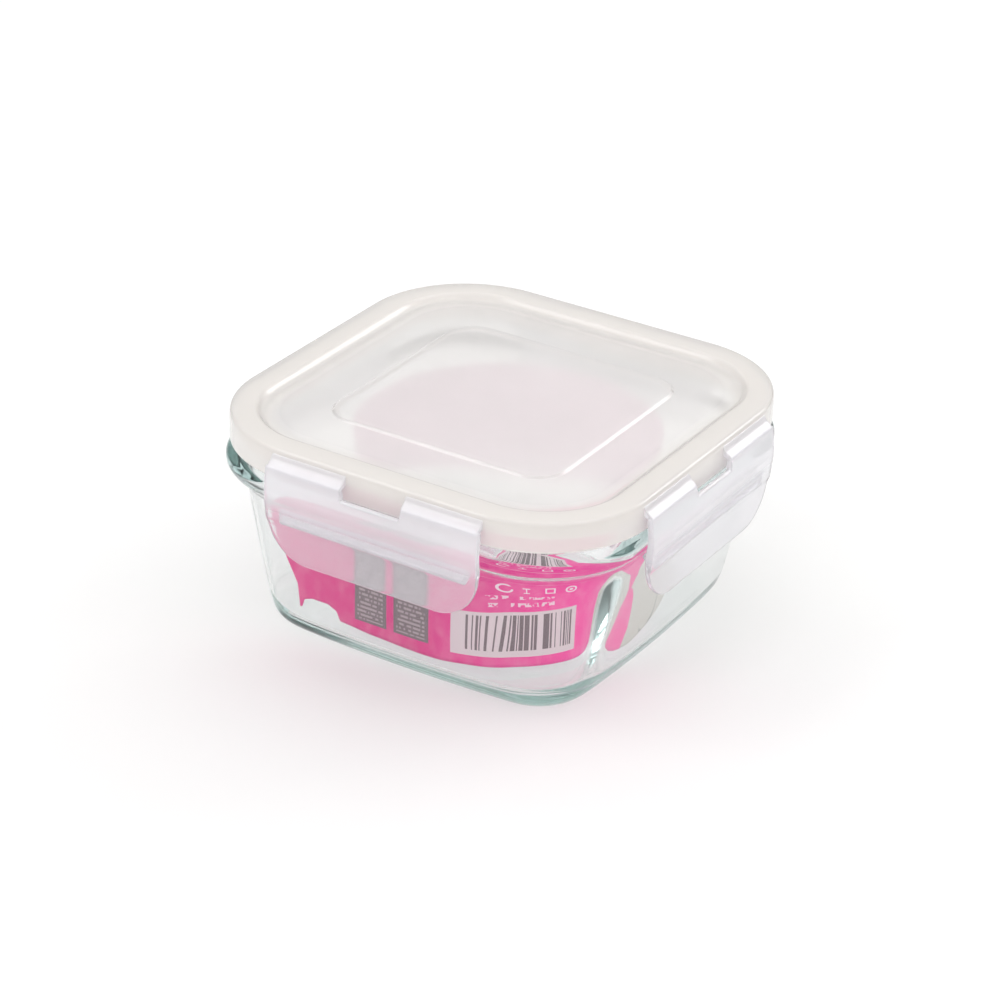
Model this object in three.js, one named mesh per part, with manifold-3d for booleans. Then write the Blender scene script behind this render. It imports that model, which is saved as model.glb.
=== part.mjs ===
// Square clip-lock glass food box: a pressed glass container, a milky lid with four hinged
// locking flaps, a silicone seal in the lid, and a rolled printed paper standing inside.
// Millimetres, +Z up. The origin is the centre of the base, on the surface it stands on.
// The front flap faces -Y, the right flap +X, the back flap +Y and the left flap -X.

import * as THREE from 'three';
import { mergeVertices } from 'three/addons/utils/BufferGeometryUtils.js';
import Module from 'manifold-3d';

const wasm = await Module();
wasm.setup();

// ---- driving dimensions ----
const LID_HALF = 65.2;             // half the lid's width, outside its skirt
const LID_TOP = 66.9;              // top of the lid's raised border
const LID_CORNER = 34;             // corner radius of the lid in plan
const CORNER_LOSS = 1.15;          // corner radius lost for each millimetre further in
const SKIRT_BOTTOM = 57.9;
const SKIRT_WALL = 2;
const LID_WALL = 1.7;              // thickness of the lid's panel
const BORDER_WIDTH = 9.2;          // raised border, from the outside to the panel
const PANEL_DROP = 1.7;            // the panel lies this far below the border
const PLATEAU_HALF = 37.3;         // the raised square in the middle of the panel
const PLATEAU_CORNER = 9.3;
const PLATEAU_RISE = 0.7;
const PLUG_OUT = 56.4;             // outer face of the lid's inner lip, which enters the glass
const PLUG_BOTTOM = 59.4;          // lower edge of that lip
const PLUG_WALL = 1.6;

const RIM_TOP = 61.6;              // top of the glass rim
const BEAD_HALF = 65.2;            // the bead that the flaps lock under, at its widest
const BEAD_CORNER = 31;
const BEAD_Z = 53.4;
const WALL_HALF = 58.7;            // outside of the wall, halfway up
const WALL_MID_Z = 28;
const GLASS_WALL = 4.8;
const FLOOR = 5.2;                 // thickness of the glass floor
const BASE_HALF = 43.5;            // the flat that the box stands on
const BASE_CORNER = 12;
const BASE_ROUND = 11;             // height of the rounding under the walls
const BASE_SPREAD = 11.2;          // how far the rounding reaches out from the flat
const BASE_CORNER_GAIN = 11.5;     // how much the corner radius grows over the rounding
const SIDE_BOW = 1.2;              // how far the lower sides bulge at their middle
const BASE_RECESS = 0.7;           // the hollow inside the standing ring
const RECESS_HALF = 34;

const SEAL_GAP = 0.3;              // clearance between pieces that touch

const FLAP_HALF = 34.5;            // half the flap's width at its top edge
const FLAP_TAPER = 0.4;            // how much narrower each side is at the bottom
const FLAP_AXIS_Z = 61.9;          // height of the hinge axis, in the flap's rounded top edge
const FLAP_BOTTOM = 34.7;
const FLAP_CORNER = 13.5;          // radius of the flap's lower corners
const FLAP_WALL = 1.8;
const HINGE_OUT = 67.3;            // hinge axis, from the centre of the box
const RIDGE_Z = 54.4;              // the ridge across the flap's outer face
const RIDGE_OUT = 68.9;
const LEDGE_Z = 46.3;              // the thinner finger lip starts below this ledge
const LIP_WALL = 1.3;
const NOTCH_BOTTOM = 59.4;         // the window between the films is notched into the flap

const RIB_WIDTH = 61;
const RIB_TOP = 50.8;
const RIB_TIP_Z = 48.7;
const RIB_BOTTOM = 45.6;
const RIB_TIP_OUT = 63.2;          // how near the rib's tip comes to the centre of the box

const FILM_WALL = 0.5;
const FILM_END = 33.5;             // outer end of each hinge film along the flap
const WINDOW_HALF = 9.7;           // half the gap between a flap's two films

const PAPER_RADIUS = 44.6;         // the roll's radius in plan
const PAPER_CENTRE = [3, -2];
const PAPER_START_X = -35;         // free end of the paper, along the front wall
const PAPER_END_ANGLE = 205;       // the other end, round the left side, in degrees
const PAPER_WALL = 0.5;
const PAPER_BOTTOM = 7.2;
const PAPER_TOP = 56;

const CORNER_STEPS = 7;
const SIDE_STEPS = 4;

// ---- materials ----
function plain(color, roughness, extra = {}) {
  return new THREE.MeshStandardMaterial({ color, roughness, metalness: 0, ...extra });
}
const glass = plain(0xc5dcd8, 0.05, { transparent: true, opacity: 0.35 });
const milky = plain(0xe9e5e2, 0.35, { transparent: true, opacity: 0.85 });
const flapPlastic = plain(0xdcd7e0, 0.3, { transparent: true, opacity: 0.7 });
const silicone = plain(0xf2eee4, 0.6);
const printed = plain(0xe0569b, 0.7);

// ---- shapes ----

// One level of a lofted body: a rounded square of half-width half at height z.
function level(half, corner, z, bow = 0) {
  return { half, corner, z, bow };
}

// The outline of a level, anticlockwise, with the same number of points at every level.
function outline({ half, corner, z, bow }) {
  const points = [];
  const straight = half - corner;
  for (let side = 0; side < 4; side += 1) {
    const turn = side * Math.PI / 2;
    const across = new THREE.Vector2();
    for (let i = 0; i < SIDE_STEPS; i += 1) {
      const t = -1 + 2 * i / SIDE_STEPS;
      points.push(across.clone().set(half + bow * (1 - t * t), straight * t)
        .rotateAround(new THREE.Vector2(), turn));
    }
    for (let i = 0; i < CORNER_STEPS; i += 1) {
      const angle = Math.PI / 2 * i / CORNER_STEPS;
      points.push(across.clone()
        .set(straight + corner * Math.cos(angle), straight + corner * Math.sin(angle))
        .rotateAround(new THREE.Vector2(), turn));
    }
  }
  return points.map((p) => new THREE.Vector3(p.x, p.y, z));
}

// A body lofted through levels. A closed one joins its last level to its first, as a ring
// does. An open one is capped at both ends, each cap fanned from its centre.
function loft(levels, closed) {
  const rings = levels.map(outline);
  const count = rings[0].length;
  const position = rings.flat().flatMap((p) => [p.x, p.y, p.z]);
  const index = [];
  const steps = closed ? rings.length : rings.length - 1;
  for (let k = 0; k < steps; k += 1) {
    const low = k * count;
    const high = ((k + 1) % rings.length) * count;
    for (let i = 0; i < count; i += 1) {
      const j = (i + 1) % count;
      index.push(low + i, low + j, high + j, low + i, high + j, high + i);
    }
  }
  if (!closed) {
    const first = position.length / 3;
    position.push(0, 0, levels[0].z, 0, 0, levels.at(-1).z);
    const last = (rings.length - 1) * count;
    for (let i = 0; i < count; i += 1) {
      const j = (i + 1) % count;
      index.push(first, j, i, first + 1, last + i, last + j);
    }
  }
  const geometry = new THREE.BufferGeometry();
  geometry.setAttribute('position', new THREE.Float32BufferAttribute(position, 3));
  geometry.setIndex(index);
  return geometry;
}

function extrude(points, depth) {
  const shape = new THREE.Shape(points.map(([x, y]) => new THREE.Vector2(x, y)));
  return new THREE.ExtrudeGeometry(shape, { depth, bevelEnabled: false, steps: 1 });
}

function solid(geometry) {
  const bare = geometry.index ? geometry.toNonIndexed() : geometry.clone();
  bare.deleteAttribute('normal');
  bare.deleteAttribute('uv');
  const merged = mergeVertices(bare, 1e-4);
  return new wasm.Manifold(new wasm.Mesh({
    numProp: 3,
    vertProperties: new Float32Array(merged.attributes.position.array),
    triVerts: new Uint32Array(merged.index.array),
  }));
}

function fromSolid(body) {
  const mesh = body.getMesh();
  const geometry = new THREE.BufferGeometry();
  geometry.setAttribute('position', new THREE.Float32BufferAttribute(mesh.vertProperties, 3));
  geometry.setIndex([...mesh.triVerts]);
  return geometry;
}

// ---- pieces ----

// Levels run from the middle of the base, up the outside, over the rim and down the inside.
function glassContainer() {
  const levels = [];
  levels.push(level(RECESS_HALF, 9, BASE_RECESS));
  levels.push(level(RECESS_HALF + 1.5, 10, 0));
  for (let i = 0; i <= 4; i += 1) {
    const angle = Math.PI / 2 * i / 4;
    const out = BASE_HALF + BASE_SPREAD * Math.sin(angle);
    const up = BASE_ROUND * (1 - Math.cos(angle));
    const corner = BASE_CORNER + BASE_CORNER_GAIN * Math.sin(angle);
    levels.push(level(out, corner, up, SIDE_BOW));
  }
  levels.push(level(WALL_HALF, 29.2, WALL_MID_Z, SIDE_BOW / 2));
  levels.push(level(61.3, 30.4, 46));
  levels.push(level(61.7, 30.4, 47.6));
  levels.push(level(62.4, 30.4, 48.6));
  levels.push(level(63.5, 30.4, 49.6));
  levels.push(level(64.8, 30.8, 51.5));
  levels.push(level(BEAD_HALF, BEAD_CORNER, BEAD_Z));
  levels.push(level(64.4, 30.6, 55.6));
  levels.push(level(62.4, 29.4, 57.6));
  levels.push(level(62, 29.2, RIM_TOP - 1));
  levels.push(level(61.1, 28.6, RIM_TOP));
  levels.push(level(58.6, 27, RIM_TOP));
  levels.push(level(57.7, 26.4, RIM_TOP - 1));
  levels.push(level(56.6, 24.4, 50));
  levels.push(level(56.2, 22, 43));
  levels.push(level(WALL_HALF - GLASS_WALL, 19, WALL_MID_Z, SIDE_BOW / 2));
  levels.push(level(51.1, 15.6, FLOOR + 6, SIDE_BOW));
  levels.push(level(50.3, 15.2, FLOOR + 3.4, SIDE_BOW));
  levels.push(level(48.9, 14.6, FLOOR + 1.5, SIDE_BOW));
  levels.push(level(46.8, 13.6, FLOOR + 0.4, SIDE_BOW));
  levels.push(level(44, 12, FLOOR, SIDE_BOW));
  return loft(levels, false);
}

function lidCorner(half) {
  return Math.max(2, LID_CORNER - (LID_HALF - half) * CORNER_LOSS);
}

// The border's cross-section is a channel that holds the seal: skirt outside, plug inside.
function lidCover() {
  const at = (half, z) => level(half, lidCorner(half), z);
  const borderIn = LID_HALF - BORDER_WIDTH;
  const panelTop = LID_TOP - PANEL_DROP;
  const panelUnder = panelTop - LID_WALL;
  const channelTop = LID_TOP - LID_WALL;
  const plateau = (half, z) => level(half, PLATEAU_CORNER - (PLATEAU_HALF - half), z);
  return loft([
    plateau(PLATEAU_HALF - 1.7, panelUnder + PLATEAU_RISE),
    plateau(PLATEAU_HALF - 0.8, panelUnder),
    at(PLUG_OUT - PLUG_WALL - 1, panelUnder),
    at(PLUG_OUT - PLUG_WALL, panelUnder - 1),
    at(PLUG_OUT - PLUG_WALL + 0.3, PLUG_BOTTOM),
    at(PLUG_OUT - 0.5, PLUG_BOTTOM),
    at(PLUG_OUT, PLUG_BOTTOM + 0.8),
    at(PLUG_OUT, channelTop),
    at(LID_HALF - SKIRT_WALL, channelTop),
    at(LID_HALF - SKIRT_WALL, SKIRT_BOTTOM + 0.5),
    at(LID_HALF - SKIRT_WALL + 0.5, SKIRT_BOTTOM),
    at(LID_HALF - 0.5, SKIRT_BOTTOM),
    at(LID_HALF, SKIRT_BOTTOM + 0.6),
    at(LID_HALF, LID_TOP - 2),
    at(LID_HALF - 0.6, LID_TOP - 0.7),
    at(LID_HALF - 2, LID_TOP),
    at(borderIn + 1.6, LID_TOP),
    at(borderIn + 0.7, LID_TOP - 0.4),
    at(borderIn - 0.2, panelTop + 0.3),
    at(borderIn - 1.2, panelTop),
    plateau(PLATEAU_HALF + 0.7, panelTop),
    plateau(PLATEAU_HALF, panelTop + PLATEAU_RISE),
  ], false);
}

// Closed loop of levels, anticlockwise in section so that its faces point outwards.
function lidGasket() {
  const low = RIM_TOP + SEAL_GAP;
  const high = LID_TOP - LID_WALL - SEAL_GAP;
  const inner = PLUG_OUT + SEAL_GAP;
  const outer = LID_HALF - SKIRT_WALL - SEAL_GAP;
  const at = (half, z) => level(half, lidCorner(half), z);
  return loft([
    at(inner, low + 0.6),
    at(inner + 0.6, low),
    at(outer - 0.6, low),
    at(outer, low + 0.6),
    at(outer, high),
    at(inner, high),
  ], true);
}

// Side section of the +X flap: a round top edge, a bulging upper part and a thin straight lip.
function flapSection() {
  const inner = HINGE_OUT - FLAP_WALL / 2;
  const section = [];
  const topSteps = 6;
  for (let i = 0; i <= topSteps; i += 1) {
    const angle = Math.PI * i / topSteps;
    section.push([
      HINGE_OUT + FLAP_WALL / 2 * Math.cos(angle),
      FLAP_AXIS_Z + FLAP_WALL / 2 * Math.sin(angle),
    ]);
  }
  section.push([inner + 0.6, RIDGE_Z + 0.6]);
  section.push([inner, RIDGE_Z - 3]);
  section.push([inner, FLAP_BOTTOM]);
  section.push([inner + LIP_WALL, FLAP_BOTTOM]);
  section.push([inner + LIP_WALL, LEDGE_Z - 0.4]);
  section.push([inner + FLAP_WALL, LEDGE_Z + 0.3]);
  section.push([RIDGE_OUT, RIDGE_Z - 0.6]);
  section.push([RIDGE_OUT, RIDGE_Z + 0.6]);
  return section;
}

// Face of the flap, y across and z up: round lower corners, and the notch between the films.
function flapFace() {
  const bottomHalf = FLAP_HALF - FLAP_TAPER;
  const top = FLAP_AXIS_Z + FLAP_WALL;
  const side = [
    [-WINDOW_HALF, NOTCH_BOTTOM + 1],
    [-WINDOW_HALF, top],
    [-FLAP_HALF, top],
  ];
  const cornerSteps = 8;
  for (let i = 0; i <= cornerSteps; i += 1) {
    const angle = Math.PI + Math.PI / 2 * i / cornerSteps;
    side.push([
      -bottomHalf + FLAP_CORNER * (1 + Math.cos(angle)),
      FLAP_BOTTOM + FLAP_CORNER * (1 + Math.sin(angle)),
    ]);
  }
  side.unshift([-WINDOW_HALF + 1, NOTCH_BOTTOM]);
  const mirrored = side.slice().reverse().map(([y, z]) => [-y, z]);
  return side.concat(mirrored);
}

// The flap of the +X side: its side section, cut to the outline of its face.
function lockFlap() {
  const plate = extrude(flapSection(), FLAP_HALF * 2);
  plate.rotateX(Math.PI / 2);
  plate.translate(0, FLAP_HALF, 0);
  const cutter = extrude(flapFace(), FLAP_WALL * 4);
  cutter.rotateX(Math.PI / 2);
  cutter.rotateZ(Math.PI / 2);
  cutter.translate(HINGE_OUT - FLAP_WALL * 2, 0, 0);
  return fromSolid(solid(plate).intersect(solid(cutter)));
}

// A wedge along the flap's inner face that catches under the glass bead.
function snapRib() {
  const root = HINGE_OUT - FLAP_WALL / 2 - SEAL_GAP;
  const section = [
    [root, RIB_BOTTOM],
    [root, RIB_TOP],
    [RIB_TIP_OUT + 0.3, RIB_TIP_Z + 0.2],
    [RIB_TIP_OUT, RIB_TIP_Z - 0.5],
    [RIB_TIP_OUT + 0.4, RIB_TIP_Z - 1],
  ];
  const rib = extrude(section, RIB_WIDTH);
  rib.rotateX(Math.PI / 2);
  rib.translate(0, RIB_WIDTH / 2, 0);
  return rib;
}

// A thin strip from the lid's skirt to the flap's top edge. side is -1 or 1 along the flap.
function hingeFilm(side) {
  const from = LID_HALF + SEAL_GAP;
  const to = HINGE_OUT - FLAP_WALL / 2 - SEAL_GAP;
  const film = new THREE.BoxGeometry(to - from, FILM_END - WINDOW_HALF, FILM_WALL);
  film.translate((from + to) / 2, side * (FILM_END + WINDOW_HALF) / 2, FLAP_AXIS_Z);
  return film;
}

// Plan of the paper: straight along the front wall, then round the roll.
function paperPlan() {
  const [cx, cy] = PAPER_CENTRE;
  const plan = [
    [PAPER_START_X, cy - PAPER_RADIUS],
    [(PAPER_START_X + cx) / 2, cy - PAPER_RADIUS],
  ];
  const stepDegrees = 11;
  const steps = Math.round((PAPER_END_ANGLE + 90) / stepDegrees);
  for (let i = 0; i <= steps; i += 1) {
    const angle = THREE.MathUtils.degToRad(-90 + (PAPER_END_ANGLE + 90) * i / steps);
    plan.push([cx + PAPER_RADIUS * Math.cos(angle), cy + PAPER_RADIUS * Math.sin(angle)]);
  }
  return plan;
}

function paperInsert() {
  const outer = paperPlan();
  const [cx, cy] = PAPER_CENTRE;
  const inner = outer.map(([x, y]) => {
    if (x < cx && y < cy - PAPER_RADIUS * 0.99) {
      return [x, y + PAPER_WALL];
    }
    const k = (PAPER_RADIUS - PAPER_WALL) / PAPER_RADIUS;
    return [cx + (x - cx) * k, cy + (y - cy) * k];
  });
  const paper = extrude(outer.concat(inner.reverse()), PAPER_TOP - PAPER_BOTTOM);
  paper.translate(0, 0, PAPER_BOTTOM);
  return paper;
}

// ---- assembly ----
const box = new THREE.Group();

function add(parent, name, geometry, material) {
  const mesh = new THREE.Mesh(geometry, material);
  mesh.name = name;
  parent.add(mesh);
}

add(box, 'glass_container', glassContainer(), glass);
add(box, 'paper_insert', paperInsert(), printed);
add(box, 'lid_cover', lidCover(), milky);
add(box, 'lid_gasket', lidGasket(), silicone);

const SIDES = [['right', 0], ['back', 90], ['left', 180], ['front', 270]];
for (const [side, degrees] of SIDES) {
  const mount = new THREE.Group();
  mount.rotation.z = THREE.MathUtils.degToRad(degrees);
  add(mount, `lock_flap_${side}`, lockFlap(), flapPlastic);
  add(mount, `snap_rib_${side}`, snapRib(), flapPlastic);
  add(mount, `hinge_film_${side}_a`, hingeFilm(-1), flapPlastic);
  add(mount, `hinge_film_${side}_b`, hingeFilm(1), flapPlastic);
  box.add(mount);
}

export default box;
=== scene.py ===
"""Square clip-lock glass food box: fine meshes, materials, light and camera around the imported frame."""

import math

import bmesh
import bpy
import numpy as np
from mathutils import Matrix, Vector


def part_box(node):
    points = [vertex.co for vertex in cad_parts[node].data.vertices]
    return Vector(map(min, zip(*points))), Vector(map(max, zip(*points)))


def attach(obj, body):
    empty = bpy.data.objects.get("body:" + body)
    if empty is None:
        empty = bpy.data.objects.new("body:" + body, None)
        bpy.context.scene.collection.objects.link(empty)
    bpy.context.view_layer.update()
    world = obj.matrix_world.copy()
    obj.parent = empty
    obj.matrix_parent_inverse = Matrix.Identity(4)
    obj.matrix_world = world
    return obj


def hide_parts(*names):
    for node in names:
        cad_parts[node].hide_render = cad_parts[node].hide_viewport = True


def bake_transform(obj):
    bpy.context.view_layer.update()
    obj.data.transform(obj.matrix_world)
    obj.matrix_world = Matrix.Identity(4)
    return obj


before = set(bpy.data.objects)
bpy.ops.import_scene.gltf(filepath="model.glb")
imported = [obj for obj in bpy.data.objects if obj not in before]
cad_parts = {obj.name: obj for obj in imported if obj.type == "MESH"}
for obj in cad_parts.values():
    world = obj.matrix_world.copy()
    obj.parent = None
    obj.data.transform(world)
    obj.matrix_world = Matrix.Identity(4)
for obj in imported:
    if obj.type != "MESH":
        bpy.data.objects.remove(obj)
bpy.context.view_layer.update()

# ---- dimensions in millimetres, as the frame has them ----
MM = 0.001
SIDES = {"right": 0, "back": 90, "left": 180, "front": 270}  # turn of each side from +X, in degrees

LID_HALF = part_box("lid_cover")[1].x / MM
LID_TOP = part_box("lid_cover")[1].z / MM
SKIRT_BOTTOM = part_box("lid_cover")[0].z / MM
LID_CORNER = 34
CORNER_LOSS = 1.15  # corner radius lost for each millimetre further in
LID_WALL = 1.7
SKIRT_WALL = 2
BORDER_WIDTH = 9.2
PANEL_DROP = 1.7
PLATEAU_HALF = 37.3
PLATEAU_CORNER = 9.3
PLATEAU_RISE = 0.7
PLUG_OUT = 56.4
PLUG_WALL = 1.6
PLUG_BOTTOM = 59.4

RIM_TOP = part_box("glass_container")[1].z / MM
FLOOR = 5.2
BELOW_BEAD = 48  # up to this height the wall's curvature is evened out

FLAP_HALF = 34.5
FLAP_TAPER = 0.4
FLAP_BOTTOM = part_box("lock_flap_front")[0].z / MM
FLAP_CORNER = 13.5
FLAP_WALL = 1.8
LIP_WALL = 1.3
HINGE_OUT = 67.3
HINGE_Z = 61.9
LEDGE_Z = 46.3
RIDGE_Z = 54.4
RIDGE_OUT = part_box("lock_flap_right")[1].x / MM
NOTCH_BOTTOM = 59.4
WINDOW_HALF = 9.7  # half the open window between a flap's two films
FILM_END = 34.0

PAPER_RADIUS = 44.6
PAPER_CENTRE = (3, -2)
PAPER_START_X = -35
PAPER_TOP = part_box("paper_insert")[1].z / MM
PAPER_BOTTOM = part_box("paper_insert")[0].z / MM
PAPER_END_ANGLE = 205
PAPER_WALL = 0.3

CORNER_STEPS = 22
SIDE_STEPS = 16
FACE_STEPS = 44  # up each face of a flap
ACROSS_STEPS = 61
SOFT_ROUNDS = 10


# ---- mesh helpers ----
def turn_faces_outwards(mesh):
    """Refraction needs every face of a closed body to look out of it."""
    body = bmesh.new()
    body.from_mesh(mesh)
    bmesh.ops.recalc_face_normals(body, faces=body.faces)
    body.to_mesh(mesh)
    body.free()


def make_piece(name, verts, faces, body, nodes, slot, material, closed=True):
    """A smooth mesh that stands for CAD nodes. With no body named, it is left unattached."""
    mesh = bpy.data.meshes.new(name)
    mesh.from_pydata([tuple(v) for v in np.asarray(verts) * MM], [], faces)
    if closed:
        turn_faces_outwards(mesh)
    mesh.shade_smooth()
    mesh.materials.append(material)
    piece = bpy.data.objects.new(name, mesh)
    bpy.context.scene.collection.objects.link(piece)
    if body:
        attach(piece, body)
    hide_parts(*nodes)
    return piece


def round_corners(points, steps=6, closed=False):
    """Rounds a polyline. The last number of each point is how far along its legs the curve starts."""
    pts = [np.array(p[:-1], float) for p in points]
    cuts = [p[-1] for p in points]
    count = len(pts)
    rounded = []
    for i, (point, cut) in enumerate(zip(pts, cuts)):
        at_end = not closed and i in (0, count - 1)
        if at_end or cut == 0:
            rounded.append(point)
            continue
        before, after = pts[i - 1] - point, pts[(i + 1) % count] - point
        near = min(cut, 0.49 * np.linalg.norm(before), 0.49 * np.linalg.norm(after))
        start = point + before / np.linalg.norm(before) * near
        end = point + after / np.linalg.norm(after) * near
        for t in np.linspace(0, 1, steps):
            rounded.append((1 - t) ** 2 * start + 2 * t * (1 - t) * point + t**2 * end)
    return rounded


def rounded_square(half, corner, z, bow=0):
    """One level of a lofted body, anticlockwise. Bowed sides run smoothly into the corner arcs."""
    straight = half - corner
    turn = math.atan(2 * bow / straight)
    radius = corner / (math.cos(turn) - math.sin(turn))
    centre = half - radius * math.cos(turn)
    quarter = []
    for t in np.linspace(-1, 1, SIDE_STEPS, endpoint=False):
        quarter.append((half + bow * (1 - t * t), straight * t))
    for angle in np.linspace(turn, math.pi / 2 - turn, CORNER_STEPS, endpoint=False):
        quarter.append((centre + radius * math.cos(angle), centre + radius * math.sin(angle)))
    level = []
    for side in range(4):
        for x, y in quarter:
            for _ in range(side):
                x, y = -y, x
            level.append((x, y, z))
    return level


def softened(level, rounds):
    """The level with its curvature evened out, so that the glass bends light smoothly."""
    points = np.array(level)
    for _ in range(rounds):
        points = (np.roll(points, 1, axis=0) + 2 * points + np.roll(points, -1, axis=0)) / 4
    return [tuple(point) for point in points]


def skin(loops, closed):
    """Quads over loops of equal length. Open stacks of loops get a flat face at each end."""
    count = len(loops[0])
    verts = [point for loop in loops for point in loop]
    faces = []
    for k in range(len(loops) if closed else len(loops) - 1):
        low, high = k * count, (k + 1) % len(loops) * count
        for i in range(count):
            j = (i + 1) % count
            faces.append((low + i, low + j, high + j, high + i))
    if not closed:
        last = (len(loops) - 1) * count
        faces.append(tuple(reversed(range(count))))
        faces.append(tuple(range(last, last + count)))
    return verts, faces


def turned(verts, degrees):
    """Points of the +X side turned to another side."""
    turn = np.array(Matrix.Rotation(math.radians(degrees), 3, "Z"))
    return np.asarray(verts) @ turn.T


def lid_corner(half):
    """Corner radius of the lid's outline at a half-width."""
    return max(2, LID_CORNER - (LID_HALF - half) * CORNER_LOSS)


# ---- shader helpers ----
def srgb(red, green, blue):
    """A screen colour, 0 to 255, as the linear colour that shaders take."""
    linear = []
    for value in (red, green, blue):
        v = value / 255
        linear.append(v / 12.92 if v <= 0.04045 else ((v + 0.055) / 1.055) ** 2.4)
    return (*linear, 1)


class Shader:
    """A node material with one Principled surface, and short calls for the nodes that drive it."""

    def __init__(self, name, **inputs):
        self.material = bpy.data.materials.new(name)
        self.material.use_nodes = True
        self.tree = self.material.node_tree
        self.surface = self.tree.nodes["Principled BSDF"]
        for key, value in inputs.items():
            label = key.replace("_", " ").title().replace("Ior", "IOR")
            self.surface.inputs[label].default_value = value

    def link(self, source, target):
        self.tree.links.new(source, target)

    def node(self, kind, **settings):
        node = self.tree.nodes.new(kind)
        for key, value in settings.items():
            setattr(node, key, value)
        return node

    def math(self, operation, *values):
        node = self.node("ShaderNodeMath", operation=operation)
        for socket, value in zip(node.inputs, values):
            if isinstance(value, (int, float)):
                socket.default_value = value
            else:
                self.link(value, socket)
        return node.outputs[0]

    def position(self):
        """Place on the piece, in metres, in its own axes."""
        return self.node("ShaderNodeTexCoord").outputs["Object"]

    def noise(self, scale, detail=2, stretch=(1, 1, 1)):
        mapping = self.node("ShaderNodeMapping")
        mapping.inputs["Scale"].default_value = stretch
        self.link(self.position(), mapping.inputs["Vector"])
        noise = self.node("ShaderNodeTexNoise")
        noise.inputs["Scale"].default_value = scale
        noise.inputs["Detail"].default_value = detail
        self.link(mapping.outputs[0], noise.inputs["Vector"])
        return noise.outputs["Fac"]

    def ramp(self, value, low, high, from_min=0.0, from_max=1.0):
        """Runs from low to high while value runs from from_min to from_max, and stays level outside."""
        node = self.node("ShaderNodeMapRange")
        node.inputs["From Min"].default_value = from_min
        node.inputs["From Max"].default_value = from_max
        node.inputs["To Min"].default_value = low
        node.inputs["To Max"].default_value = high
        self.link(value, node.inputs["Value"])
        return node.outputs[0]

    def mix(self, factor, first, second):
        node = self.node("ShaderNodeMix", data_type="RGBA")
        sockets = (node.inputs[0], node.inputs[6], node.inputs[7])
        for socket, value in zip(sockets, (factor, first, second)):
            if isinstance(value, (int, float, tuple)):
                socket.default_value = value
            else:
                self.link(value, socket)
        return node.outputs[2]

    def bump(self, heights):
        """heights is (height socket, strength, distance in mm) for each layer of relief."""
        normal = None
        for height, strength, distance in heights:
            bump = self.node("ShaderNodeBump")
            bump.inputs["Strength"].default_value = strength
            bump.inputs["Distance"].default_value = distance * MM
            self.link(height, bump.inputs["Height"])
            if normal is not None:
                self.link(normal, bump.inputs["Normal"])
            normal = bump.outputs[0]
        self.link(normal, self.surface.inputs["Normal"])

    def drive(self, name, socket):
        """Links a socket to one of the Principled shader's inputs."""
        self.link(socket, self.surface.inputs[name])

    def let_light_in(self, share, tint):
        """Lamps and bounced light pass straight through, as they do through a thin clear wall."""
        path = self.node("ShaderNodeLightPath")
        clear = self.node("ShaderNodeBsdfTransparent")
        clear.inputs["Color"].default_value = tint
        blend = self.node("ShaderNodeMixShader")
        indirect = self.math("MAXIMUM", path.outputs["Is Shadow Ray"], path.outputs["Is Diffuse Ray"])
        self.link(self.math("MULTIPLY", indirect, share), blend.inputs[0])
        self.link(self.surface.outputs[0], blend.inputs[1])
        self.link(clear.outputs[0], blend.inputs[2])
        self.link(blend.outputs[0], self.tree.nodes["Material Output"].inputs["Surface"])


# ---- materials ----
def glass_material():
    """Pressed clear glass: green where it is thick, with slow waves in its faces."""
    s = Shader("pressed_glass", transmission_weight=1.0, ior=1.5)
    s.surface.inputs["Base Color"].default_value = (1, 1, 1, 1)
    s.drive("Roughness", s.ramp(s.noise(180, 3), 0.0, 0.03, 0.45, 0.8))
    s.bump([(s.noise(45, 1), 0.1, 0.12), (s.noise(160, 1, (1, 1, 0.4)), 0.1, 0.05)])
    absorb = s.node("ShaderNodeVolumeAbsorption")
    absorb.inputs["Color"].default_value = (0.42, 0.70, 0.68, 1)
    absorb.inputs["Density"].default_value = 8
    s.link(absorb.outputs[0], s.tree.nodes["Material Output"].inputs["Volume"])
    s.let_light_in(1.0, (0.98, 0.99, 0.987, 1))
    return s.material


def milky_plastic(name, color, see_through, rough, light_in):
    """Translucent polypropylene: faint flow clouds, slow sink waves and uneven gloss."""
    s = Shader(name, transmission_weight=see_through, ior=1.45, coat_weight=0.5, coat_roughness=0.06)
    clouds = s.noise(28, 3)
    darker = tuple(c * 0.96 for c in color[:3]) + (1,)
    s.drive("Base Color", s.mix(s.ramp(clouds, 0, 1, 0.35, 0.7), color, darker))
    smears = s.noise(60, 4, (1, 3, 1))
    s.drive("Roughness", s.ramp(smears, rough - 0.03, rough + 0.05, 0.3, 0.75))
    s.bump([(clouds, 0.3, 0.4), (s.noise(150, 2), 0.15, 0.05)])
    s.let_light_in(light_in, color)
    return s


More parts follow.
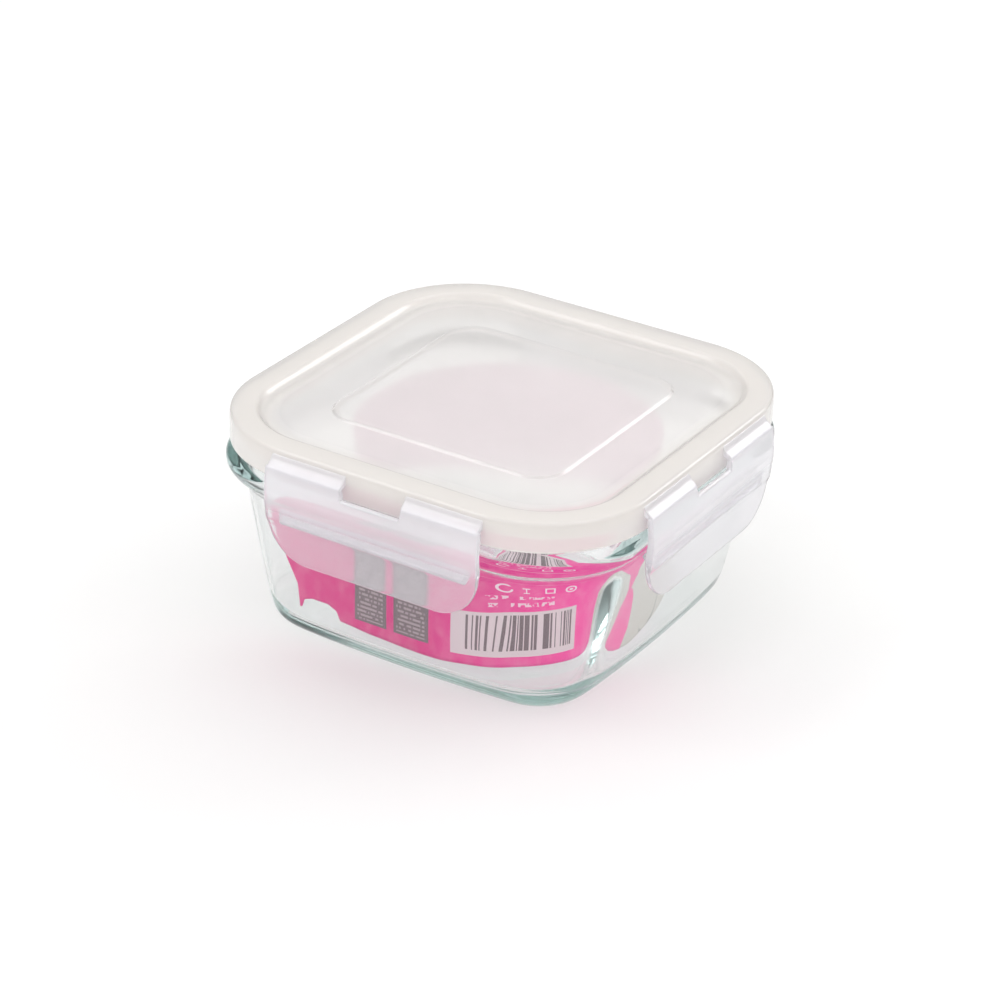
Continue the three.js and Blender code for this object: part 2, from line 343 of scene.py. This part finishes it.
def lid_material():
    """The lid's one-wall panel is see-through. Its folded border is deeper, milkier and greyer."""
    s = milky_plastic("lid_polypropylene", srgb(254, 252, 251), 0.66, 0.13, 0.7)
    split = s.node("ShaderNodeSeparateXYZ")
    s.link(s.position(), split.inputs[0])
    straight = (LID_HALF - LID_CORNER) * MM
    beyond = []
    for axis in (0, 1):
        past = s.math("SUBTRACT", s.math("ABSOLUTE", split.outputs[axis]), straight)
        beyond.append(s.math("MAXIMUM", past, 0.0))
    squares = [s.math("MULTIPLY", value, value) for value in beyond]
    reach = s.math("SQRT", s.math("ADD", *squares))
    border = (LID_CORNER - BORDER_WIDTH) * MM
    fade = 5 * MM
    fold = s.ramp(reach, 0, 1, border - fade, border)
    s.drive("Transmission Weight", s.ramp(fold, 0.68, 0.42))
    panel_color = s.surface.inputs["Base Color"].links[0].from_socket
    s.drive("Base Color", s.mix(s.math("MULTIPLY", fold, 0.8), panel_color, BORDER_GREY))
    return s.material


def flap_material():
    """The thin finger lip is clearer than the ridge and the hinge above it."""
    s = milky_plastic("flap_polypropylene", srgb(248, 247, 250), 0.7, 0.13, 0.75)
    split = s.node("ShaderNodeSeparateXYZ")
    s.link(s.position(), split.inputs[0])
    clear = s.ramp(split.outputs[2], 0.82, 0.55, LEDGE_Z * MM, (RIDGE_Z + 1) * MM)
    s.drive("Transmission Weight", clear)
    return s.material


def silicone_material():
    """Soft matt silicone with a fine grain."""
    s = Shader("seal_silicone", transmission_weight=0.25, roughness=0.5, ior=1.41)
    s.drive("Base Color", s.mix(s.noise(90, 3), srgb(252, 249, 243), srgb(246, 242, 233)))
    s.bump([(s.noise(700, 2), 0.15, 0.02)])
    return s.material


class Print:
    """Masks for what is printed. u runs along the sheet from its free end and z is the height, in mm."""

    def __init__(self, shader):
        self.s = shader
        flat = shader.node("ShaderNodeUVMap", uv_map="sheet").outputs[0]
        split = shader.node("ShaderNodeSeparateXYZ")
        shader.link(flat, split.inputs[0])
        self.u = shader.math("MULTIPLY", split.outputs[0], 100)
        self.z = shader.math("MULTIPLY", split.outputs[1], 100)

    def box(self, u0, u1, z0, z1):
        """A filled rectangle."""
        across = self.s.math("COMPARE", self.u, (u0 + u1) / 2, (u1 - u0) / 2)
        up = self.s.math("COMPARE", self.z, (z0 + z1) / 2, (z1 - z0) / 2)
        return self.s.math("MULTIPLY", across, up)

    def ring(self, u, z, radius, half_line):
        """A circle's line. With no radius it is a dot."""
        du = self.s.math("SUBTRACT", self.u, u)
        dz = self.s.math("SUBTRACT", self.z, z)
        square = self.s.math("ADD", self.s.math("MULTIPLY", du, du), self.s.math("MULTIPLY", dz, dz))
        return self.s.math("COMPARE", self.s.math("SQRT", square), radius, half_line)

    def both(self, first, second):
        return self.s.math("MULTIPLY", first, second)

    def either(self, first, second):
        return self.s.math("MAXIMUM", first, second)

    def without(self, first, second):
        return self.s.math("MULTIPLY", first, self.s.math("SUBTRACT", 1.0, second))

    def cells(self, width, height, share):
        """A random part of the cells of a grid, such as bars or the words of an unreadable line."""
        column = self.s.math("FLOOR", self.s.math("DIVIDE", self.u, width))
        row = self.s.math("FLOOR", self.s.math("DIVIDE", self.z, height))
        place = self.s.node("ShaderNodeCombineXYZ")
        self.s.link(column, place.inputs[0])
        self.s.link(row, place.inputs[1])
        noise = self.s.node("ShaderNodeTexWhiteNoise", noise_dimensions="3D")
        self.s.link(place.outputs[0], noise.inputs["Vector"])
        return self.s.math("LESS_THAN", noise.outputs["Value"], share)

    def rows(self, pitch, share):
        """Level stripes, which fill a share of their pitch."""
        place = self.s.math("FRACT", self.s.math("DIVIDE", self.z, pitch))
        return self.s.math("LESS_THAN", place, share)


# places on the sheet in mm: nearer and further edge from its free end, then bottom and top
PALE_LINE = (-20, 103, 37.6, 38.0)
PANELS = ((17.6, 28.2, 11.6, 40), (30.6, 42, 11.6, 40))
WORD_LINES = ((55.6, 77.6, 28.6, 29.9), (57, 76.4, 26.1, 27.4))
BARS_BOX = (48.6, 84.6, 10.6, 24.4)
BARS = (52.6, 82.8, 12.6, 23.4)
SKETCH_AREA = (104, 116, 10, 24)
PINK_END = 94.3  # edge of the pink at height 0. It slants by PINK_SLANT for each mm of height
PINK_SLANT = 0.32

PINK_LEFT = srgb(224, 34, 132)
PINK_RIGHT = srgb(255, 62, 165)
WHITE_INK = srgb(250, 236, 243)
BOX_WHITE = srgb(226, 205, 212)
BAR_INK = srgb(120, 100, 108)
PANEL_GREY = srgb(124, 106, 113)
BEIGE = srgb(206, 200, 194)
SKETCH_INK = srgb(150, 148, 144)
PALE_BEIGE = srgb(224, 219, 214)
# the paper's back: white with a painted pink glow, standing in for light through the printed sheet
BACK_WHITE_PINK_GLOW = srgb(250, 234, 244)
BACK_FIBRE_PINK_GLOW = srgb(242, 222, 235)
BORDER_GREY = srgb(238, 235, 232)
FLOOR_WHITE = srgb(250, 250, 250)
# painted reflection: grey that only gloss and refraction see on the floor further out
PAINTED_REFLECTION_GREY = srgb(128, 128, 130)


def printed_material():
    """Pink print with two grey panels, generic marks and random bars. Nothing on it can be read."""
    s = Shader("printed_paper", roughness=0.5, ior=1.45, specular_ior_level=0.25)
    p = Print(s)
    ground = s.mix(s.ramp(p.u, 0, 1, 35, 85), PINK_LEFT, PINK_RIGHT)
    fibres = s.noise(260, 4, (1, 1, 0.6))
    ground = s.mix(s.math("MULTIPLY", s.ramp(fibres, 0, 1, 0.45, 0.75), 0.12), ground, WHITE_INK)
    ground = s.mix(s.math("MULTIPLY", p.box(*PALE_LINE), 0.45), ground, WHITE_INK)

    # two panels of greyed-out lines
    for left, right, bottom, top in PANELS:
        panel = p.box(left, right, bottom, top)
        ground = s.mix(panel, ground, PANEL_GREY)
        lines = p.both(p.both(panel, p.rows(1.35, 0.5)), p.cells(0.5, 1.35, 0.7))
        lines = p.both(lines, p.box(left + 0.9, right - 1.2, bottom + 0.8, top - 1))
        ground = s.mix(s.math("MULTIPLY", lines, 0.4), ground, BOX_WHITE)

    # four plain care marks in a row
    marks = p.without(p.ring(61.3, 33.4, 1.75, 0.32), p.box(61.6, 63.6, 33.2, 34.6))
    cup = p.either(p.box(66.2, 68.6, 34.0, 34.5), p.box(67.2, 67.6, 31.9, 34.2))
    marks = p.either(marks, p.either(cup, p.box(66.4, 68.4, 31.7, 32.1)))
    marks = p.either(marks, p.without(p.box(73.2, 76.4, 31.9, 34.9), p.box(73.7, 75.9, 32.4, 34.4)))
    marks = p.either(marks, p.either(p.ring(81.4, 33.5, 1.6, 0.3), p.ring(81.4, 33.5, 0, 0.6)))
    ground = s.mix(s.math("MULTIPLY", marks, 0.85), ground, WHITE_INK)

    # two lines of unreadable words
    words = p.either(*[p.box(*line) for line in WORD_LINES])
    strokes = s.math("GREATER_THAN", s.noise(900, 1, (1, 1, 0.6)), 0.5)
    words = p.both(p.both(words, strokes), p.cells(2.6, 2.5, 0.86))
    ground = s.mix(s.math("MULTIPLY", words, 0.7), ground, WHITE_INK)

    # bars in a pale box
    ground = s.mix(p.box(*BARS_BOX), ground, BOX_WHITE)
    bars = p.both(p.box(*BARS), p.cells(0.33, 100, 0.5))
    ground = s.mix(bars, ground, BAR_INK)

    # past the pink, a beige field with a loose sketch
    edge = s.math("MULTIPLY_ADD", p.z, PINK_SLANT, PINK_END)
    field = s.math("GREATER_THAN", p.u, edge)
    ground = s.mix(field, ground, s.mix(s.ramp(p.z, 0, 1, 10, 40), BEIGE, PALE_BEIGE))
    sketch = s.math("COMPARE", s.noise(55, 1), 0.5, 0.012)
    sketch = p.both(p.both(sketch, field), p.box(*SKETCH_AREA))
    ground = s.mix(s.math("MULTIPLY", sketch, 0.8), ground, SKETCH_INK)

    s.drive("Base Color", ground)
    s.bump([(fibres, 0.2, 0.03), (s.noise(30, 2), 0.3, 0.3)])
    return s.material


def paper_back_material():
    """The unprinted side: white, with faint fibres and a pink cast. The pink is painted light, the
    print's glow coming through the thin sheet.
    """
    s = Shader("paper_back", roughness=0.75, ior=1.45)
    fibres = s.noise(300, 4)
    # painted light: the pink cast stands in for the print's glow through the sheet
    s.drive("Base Color", s.mix(s.ramp(fibres, 0, 1, 0.35, 0.7), BACK_WHITE_PINK_GLOW, BACK_FIBRE_PINK_GLOW))
    s.bump([(fibres, 0.25, 0.04)])
    return s.material


def floor_material():
    """A matt white table. Only gloss and refraction rays see it painted grey further out, a painted
    reflection of a grey room, which draws glass edges.
    """
    s = Shader("floor", roughness=0.9)
    distance = s.node("ShaderNodeVectorMath", operation="LENGTH")
    s.link(s.position(), distance.inputs[0])
    far = s.ramp(distance.outputs["Value"], 0.06, 1, 0.1, 0.6)
    path = s.node("ShaderNodeLightPath")
    bent = s.math("MAXIMUM", path.outputs["Is Glossy Ray"], path.outputs["Is Transmission Ray"])
    # painted reflection: the far floor turns grey only for gloss and refraction rays
    s.drive("Base Color", s.mix(s.math("MULTIPLY", far, bent), FLOOR_WHITE, PAINTED_REFLECTION_GREY))
    return s.material


# ---- pieces ----
def glass_box():
    """Levels are (half, plan corner, z, bow, rounding), up the outside and down the inside."""
    outside = [
        (30, 9, 0.7, 0, 0),
        (34, 10, 0.7, 0, 0.8),
        (35.2, 10.4, 0, 0.4, 0.8),
        (42.8, 11.2, 0, 1.2, 1.0),
        (48.0, 13, 0.9, 1.2, 2.4),
        (51.8, 16.4, 4.2, 1.2, 2.6),
        (54.6, 21.6, 10.5, 1.2, 3),
        (58.3, 26.8, 28, 0.6, 9),
        (61.3, 30.4, 46.8, 0, 1.2),
        (62.6, 30.4, 48.7, 0, 1.2),
        (65.0, 30.8, 51.2, 0, 1.8),
        (65.2, 31, 54.0, 0, 1.4),
        (62.2, 29.4, 57.8, 0, 1.2),
        (62.0, 29.2, RIM_TOP, 0, 1.0),
    ]
    inside = [
        (57.8, 26.5, RIM_TOP, 0, 1.2),
        (56.6, 24.4, 50, 0, 2.5),
        (56.1, 21.0, 43, 0, 3),
        (53.6, 17.8, 28, 0.6, 8),
        (50.3, 14.6, FLOOR, 1.2, 6.2),
        (37, 9, FLOOR, 0, 0),
    ]
    levels = round_corners(outside + inside, steps=9)
    loops = []
    for half, corner, z, bow in levels:
        loop = rounded_square(half, corner, z, bow)
        loops.append(softened(loop, SOFT_ROUNDS if z < BELOW_BEAD else 0))
    return make_piece("glass_box", *skin(loops, False), "container", ["glass_container"], "glass", GLASS)


def lid_cover():
    """Section points are (half, z, rounding), from the underside of the plateau to its top."""
    panel = LID_TOP - PANEL_DROP
    border_in = LID_HALF - BORDER_WIDTH
    under = panel - LID_WALL
    channel = LID_TOP - LID_WALL
    skirt_in = LID_HALF - SKIRT_WALL
    plateau = [(PLATEAU_HALF - 3, PLATEAU_RISE, 0), (PLATEAU_HALF - 1.4, PLATEAU_RISE, 0.35)]
    plateau.append((PLATEAU_HALF - 0.5, 0, 0.35))
    rows = []
    for half, rise, cut in plateau:
        rows.append((half, PLATEAU_CORNER - (PLATEAU_HALF - half), under + rise, cut))
    profile = [
        (PLUG_OUT - PLUG_WALL - 0.2, under, 1.4),
        (PLUG_OUT - PLUG_WALL + 0.3, PLUG_BOTTOM, 0.4),
        (PLUG_OUT - 0.1, PLUG_BOTTOM, 0.5),
        (PLUG_OUT, channel, 0.6),
        (skirt_in, channel, 0.6),
        (skirt_in, SKIRT_BOTTOM, 0.5),
        (LID_HALF, SKIRT_BOTTOM, 0.6),
        (LID_HALF, LID_TOP, 1.9),
        (border_in + 1.2, LID_TOP, 1.1),
        (border_in - 0.4, panel, 1.1),
    ]
    for half, z, cut in profile:
        rows.append((half, lid_corner(half), z, cut))
    rows.append((PLATEAU_HALF + 0.5, PLATEAU_CORNER + 0.5, panel, 0.3))
    rows.append((PLATEAU_HALF - 0.2, PLATEAU_CORNER - 0.2, panel + PLATEAU_RISE, 0.35))
    rows.append((PLATEAU_HALF - 3, PLATEAU_CORNER - 3, panel + PLATEAU_RISE, 0))
    loops = [rounded_square(*row) for row in round_corners(rows, steps=7)]
    return make_piece("lid_shell", *skin(loops, False), "lid", ["lid_cover"], "lid_plastic", LID_PLASTIC)


def lid_gasket():
    """The seal ring in the lid's channel, with two soft lips over the glass rim."""
    low, high = RIM_TOP + 0.2, LID_TOP - LID_WALL - 0.1
    inner, outer = PLUG_OUT + 0.2, LID_HALF - SKIRT_WALL - 0.2
    middle = (inner + outer) / 2
    section = [
        (inner, low + 0.4, 0.3),
        (inner + 0.9, low, 0.4),
        (middle - 0.5, low + 0.5, 0.4),
        (middle + 0.5, low + 0.5, 0.4),
        (outer - 0.9, low, 0.4),
        (outer, low + 0.4, 0.3),
        (outer, high, 0.5),
        (inner, high, 0.5),
    ]
    rows = round_corners([(half, lid_corner(half), z, cut) for half, z, cut in section], 5, True)
    loops = [rounded_square(*row) for row in rows]
    return make_piece("seal_ring", *skin(loops, True), "lid", ["lid_gasket"], "silicone", SILICONE)


def flap_faces():
    """The flap's side section as two functions of height: how far out its faces are."""
    inner = HINGE_OUT - FLAP_WALL / 2
    outer = HINGE_OUT + FLAP_WALL / 2
    out_profile = round_corners(
        [
            (FLAP_BOTTOM, inner + LIP_WALL, 0),
            (LEDGE_Z - 0.3, inner + LIP_WALL, 0.5),
            (LEDGE_Z + 0.2, inner + FLAP_WALL, 0.5),
            (RIDGE_Z - 0.5, RIDGE_OUT, 1.2),
            (RIDGE_Z + 1.2, RIDGE_OUT, 1.0),
            (HINGE_Z, outer, 0),
        ]
    )
    in_profile = round_corners(
        [
            (FLAP_BOTTOM, inner, 0),
            (RIDGE_Z - 3, inner, 2),
            (RIDGE_Z + 0.6, inner + 0.6, 2),
            (HINGE_Z, inner, 0),
        ]
    )

    def reader(profile):
        heights = [p[0] for p in profile]
        outs = [p[1] for p in profile]
        return lambda z: np.interp(z, heights, outs)

    return reader(out_profile), reader(in_profile)


def flap_ends(y):
    """Lowest and highest point of the flap at a place across it."""
    bottom_half = FLAP_HALF - FLAP_TAPER
    into_corner = min(FLAP_CORNER, max(0, abs(y) - (bottom_half - FLAP_CORNER)))
    low = FLAP_BOTTOM + FLAP_CORNER - math.sqrt(FLAP_CORNER**2 - into_corner**2)
    edge = min(1, max(0, (abs(y) - WINDOW_HALF + 0.4) / 0.9))
    smooth = edge * edge * (3 - 2 * edge)
    high = NOTCH_BOTTOM + (HINGE_Z + FLAP_WALL / 2 - NOTCH_BOTTOM) * smooth
    return low, high


def flap_loop(y, inset, faces):
    """Closed section of the flap at y, drawn in by inset where its side edge is rounded."""
    out_at, in_at = faces
    low, high = flap_ends(y)
    lip = LIP_WALL / 2
    low, high = low + inset, high - inset
    top_wall = (out_at(high - 0.9) - in_at(high - 0.9)) / 2 - inset
    loop = []
    for t in np.linspace(0, 1, FACE_STEPS):
        z = low + lip + (high - top_wall - low - lip) * t
        loop.append((out_at(z) - inset, y, z))
    centre = (out_at(high - top_wall) + in_at(high - top_wall)) / 2
    for angle in np.linspace(0, math.pi, 11)[1:-1]:
        loop.append((centre + top_wall * math.cos(angle), y, high - top_wall * (1 - math.sin(angle))))
    for t in np.linspace(1, 0, FACE_STEPS):
        z = low + lip + (high - top_wall - low - lip) * t
        loop.append((in_at(z) + inset, y, z))
    centre = (out_at(low) + in_at(low)) / 2
    radius = max(0.05, lip - inset)
    for angle in np.linspace(math.pi, 2 * math.pi, 9)[1:-1]:
        loop.append((centre + radius * math.cos(angle), y, low + lip + radius * math.sin(angle)))
    return loop


def lock_flap(side, degrees):
    """One locking flap, made of sections that crowd together at its sides and at the window."""
    faces = flap_faces()
    edge = 0.45
    flat = FLAP_HALF - edge
    across = [flat * math.sin(a) for a in np.linspace(-math.pi / 2, math.pi / 2, ACROSS_STEPS)]
    for window in (-WINDOW_HALF, WINDOW_HALF):
        across += [window + step * 0.1 for step in range(-5, 6)]
    columns = [(y, 0.0) for y in sorted(across)]
    for angle in np.linspace(0, math.pi / 2, 6)[1:]:
        y, inset = flat + edge * math.sin(angle), edge * (1 - math.cos(angle))
        columns.append((y, inset))
        columns.insert(0, (-y, inset))
    loops = [flap_loop(y, inset, faces) for y, inset in columns]
    verts, quads = skin(loops, False)
    verts = turned(verts, degrees)
    name = f"flap_{side}"
    nodes = [f"lock_flap_{side}"]
    return make_piece(f"{name}_plate", verts, quads, name, nodes, "flap_plastic", FLAP_PLASTIC)


def swept(section, half_length, end=0.5):
    """A closed (x, z) section run along y, its ends drawn in and rounded."""
    centre = np.mean(section, axis=0)
    places = []
    for angle in np.linspace(0, math.pi / 2, 6):
        places.append((half_length - end + end * math.sin(angle), 1 - 0.35 * (1 - math.cos(angle))))
    straight = [(y, 1.0) for y in np.linspace(-half_length + end, half_length - end, 24)[1:-1]]
    loops = []
    for y, size in [(-y, size) for y, size in reversed(places)] + straight + places:
        drawn_in = [(point - centre) * size + centre for point in section]
        loops.append([(x, y, z) for x, z in drawn_in])
    return loops


def snap_rib(side, degrees):
    """The rib inside a flap that snaps under the glass bead. Section points are (out, z, rounding)."""
    root = HINGE_OUT - FLAP_WALL / 2 + 0.1
    section = round_corners(
        [
            (root, 45.6, 0.4),
            (root, 50.8, 0.4),
            (63.5, 48.9, 0.5),
            (63.2, 48.2, 0.4),
            (63.7, 47.6, 0.6),
        ],
        5,
        True,
    )
    verts, quads = skin(swept(section, 30.5, 0.9), False)
    verts = turned(verts, degrees)
    name = f"flap_{side}"
    nodes = [f"snap_rib_{side}"]
    return make_piece(f"{name}_rib", verts, quads, name, nodes, "flap_plastic", FLAP_PLASTIC)


def hinge_film(side, degrees, end):
    """A pad on the skirt that thins into the film, which runs into the flap's top edge."""
    outline = round_corners(
        [
            (64.8, 65.6, 0.2),
            (65.25, 65.4, 0.6),
            (66.0, 64.1, 1.3),
            (67.4, 63.1, 1.2),
            (68.2, 62.3, 0.8),
            (68.15, 61.4, 0),
            (66.4, 61.8, 0.5),
            (65.4, 62.2, 0.5),
            (64.8, 63, 0.3),
        ],
        6,
        True,
    )
    half_length = (FILM_END - WINDOW_HALF) / 2
    loops = swept(outline, half_length, 0.4)
    verts, quads = skin(loops, False)
    shift = (FILM_END + WINDOW_HALF) / 2 * (1 if end == "b" else -1)
    verts = turned(np.asarray(verts) + (0, shift, 0), degrees)
    node = f"hinge_film_{side}_{end}"
    piece = make_piece(f"film_{side}_{end}", verts, quads, None, [node], "flap_plastic", FLAP_PLASTIC)
    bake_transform(piece)
    return piece


def sheet_point(u, z, out=0.0):
    """The paper's plan: straight along the front, then round the roll. out moves it off the roll."""
    straight = PAPER_CENTRE[0] - PAPER_START_X
    if u < straight:
        return (PAPER_START_X + u, PAPER_CENTRE[1] - PAPER_RADIUS - out, z)
    angle = (u - straight) / PAPER_RADIUS - math.pi / 2
    radius = PAPER_RADIUS + out
    return (PAPER_CENTRE[0] + radius * math.cos(angle), PAPER_CENTRE[1] + radius * math.sin(angle), z)


def paper_low_edge(u):
    """Height of the paper's lower edge: a bite near its free end and a slant on the right side."""
    places = [-2, 0.6, 1.6, 4, 9, 11.6, 12.8, 22, 40, 60, 92, 100, 116, 130, 150, 270]
    heights = [9.2, 9.6, 12.4, 13.4, 13.4, 12.0, 9.0, 8.2, 7.6, 7.2, 7.2, 8, 14, 18, 20, 20]
    return np.interp(u, places, heights)


def paper_top_edge(u):
    """The front of the roll is slumped a little under the rim. The back reaches higher."""
    return np.interp(u, [90, 125], [PAPER_TOP - 4.5, PAPER_TOP])


def paper_insert():
    """The rolled paper. Its free end leans over, and the sheet waves slightly towards the top."""
    total = PAPER_CENTRE[0] - PAPER_START_X + math.radians(PAPER_END_ANGLE + 90) * PAPER_RADIUS
    columns = np.concatenate([np.linspace(0, 16, 64, endpoint=False), np.linspace(16, total, 260)])
    heights = np.linspace(0, 1, 40)
    verts, marks = [], []
    for u in columns:
        low, high = paper_low_edge(u), paper_top_edge(u)
        free = max(0, 1 - u / 24) ** 2
        for t in heights:
            z = low + (high - low) * t
            lean = np.interp(z, [10, 17, 31, 56], [-1.0, -1.5, -8.0, -9.5])
            along = u + lean * free
            wave = 0.25 * math.sin(along * 0.21 + z * 0.05) * t
            verts.append(sheet_point(along, z, wave - 0.25))
            marks.append((along / 100, z / 100))
    rows = len(heights)
    faces = []
    for i in range(len(columns) - 1):
        for j in range(rows - 1):
            a = i * rows + j
            faces.append((a, a + rows, a + rows + 1, a + 1))
    nodes = ["paper_insert"]
    piece = make_piece(
        "paper_roll", verts, faces, "container", nodes, "printed_paper", PRINTED, closed=False
    )
    piece.data.materials.append(PAPER_BACK)
    layer = piece.data.uv_layers.new(name="sheet")
    for loop in piece.data.loops:
        layer.data[loop.index].uv = marks[loop.vertex_index]
    thick = piece.modifiers.new("thickness", "SOLIDIFY")
    thick.thickness = PAPER_WALL * MM
    thick.offset = 0
    thick.material_offset = 1
    thick.material_offset_rim = 1
    return piece


# ---- studio ----
def aim(thing, target):
    """Turns a lamp to face a point."""
    direction = Vector(target) - thing.location
    thing.rotation_mode = "QUATERNION"
    thing.rotation_quaternion = direction.to_track_quat("-Z", "Y")


def make_camera():
    """Looks from the front, a third of the way to the right side, and down. It leans by a small roll."""
    azimuth, elevation, roll = math.radians(31.22), math.radians(27.80), math.radians(1.88)
    target = Vector((-0.22, -0.35, 33.24)) * MM
    distance = 947 * MM
    back = Vector(
        (
            math.sin(azimuth) * math.cos(elevation),
            -math.cos(azimuth) * math.cos(elevation),
            math.sin(elevation),
        )
    )
    data = bpy.data.cameras.new("camera")
    data.lens = 118.6
    data.sensor_width = 36
    camera = bpy.data.objects.new("camera", data)
    camera.rotation_mode = "QUATERNION"
    level = (-back).to_track_quat("-Z", "Y")
    camera.rotation_quaternion = level @ Matrix.Rotation(roll, 3, "Z").to_quaternion()
    camera.location = target + back * distance
    bpy.context.scene.collection.objects.link(camera)
    bpy.context.scene.camera = camera


def make_light(name, place, size, power):
    """A soft rectangular lamp. Its place and size are in metres and its power in watts."""
    data = bpy.data.lights.new(name, "AREA")
    data.shape = "RECTANGLE"
    data.size, data.size_y = size
    data.energy = power
    light = bpy.data.objects.new(name, data)
    light.location = place
    aim(light, (0, 0, 0.03))
    bpy.context.scene.collection.objects.link(light)


def studio_sky():
    """A white room. What shows in gloss and through glass is its bright ceiling over grey walls."""
    world = bpy.data.worlds.new("studio")
    world.use_nodes = True
    nodes, links = world.node_tree.nodes, world.node_tree.links
    split = nodes.new("ShaderNodeSeparateXYZ")
    links.new(nodes.new("ShaderNodeTexCoord").outputs["Generated"], split.inputs[0])
    height = nodes.new("ShaderNodeMapRange")
    links.new(split.outputs[2], height.inputs["Value"])
    height.inputs["From Min"].default_value = 0.12
    height.inputs["To Min"].default_value = 0.2
    height.inputs["To Max"].default_value = 1.4
    paths = nodes.new("ShaderNodeLightPath")
    bent = nodes.new("ShaderNodeMath")
    bent.operation = "MAXIMUM"
    links.new(paths.outputs["Is Glossy Ray"], bent.inputs[0])
    links.new(paths.outputs["Is Transmission Ray"], bent.inputs[1])
    seen = nodes.new("ShaderNodeMix")
    links.new(bent.outputs[0], seen.inputs["Factor"])
    seen.inputs["A"].default_value = 1.0
    links.new(height.outputs[0], seen.inputs["B"])
    links.new(seen.outputs["Result"], nodes["Background"].inputs["Strength"])
    nodes["Background"].inputs["Color"].default_value = (1.0, 0.995, 0.99, 1)
    return world


def make_studio():
    """Two soft lamps, the white room and the table."""
    scene = bpy.context.scene
    scene.view_settings.view_transform = "Standard"
    scene.cycles.max_bounces = 28
    scene.cycles.transmission_bounces = 28
    scene.cycles.glossy_bounces = 28
    scene.cycles.diffuse_bounces = 8
    scene.world = studio_sky()
    make_light("key", (-0.55, -0.5, 0.9), (0.4, 0.4), 1.2)
    make_light("back", (0.45, 0.8, 0.6), (0.5, 0.3), 1.6)

    floor_mesh = bpy.data.meshes.new("floor")
    reach = 3.0
    corners = [(-reach, -reach, 0), (reach, -reach, 0), (reach, reach, 0), (-reach, reach, 0)]
    floor_mesh.from_pydata(corners, [], [(0, 1, 2, 3)])
    floor = bpy.data.objects.new("floor", floor_mesh)
    floor.location.z = -0.0002
    floor_mesh.materials.append(floor_material())
    scene.collection.objects.link(floor)


GLASS = glass_material()
LID_PLASTIC = lid_material()
FLAP_PLASTIC = flap_material()
SILICONE = silicone_material()
PRINTED = printed_material()
PAPER_BACK = paper_back_material()

glass_box()
paper_insert()
lid_cover()
lid_gasket()
for side, degrees in SIDES.items():
    lock_flap(side, degrees)
    snap_rib(side, degrees)
    for end in "ab":
        hinge_film(side, degrees, end)
make_studio()
make_camera()
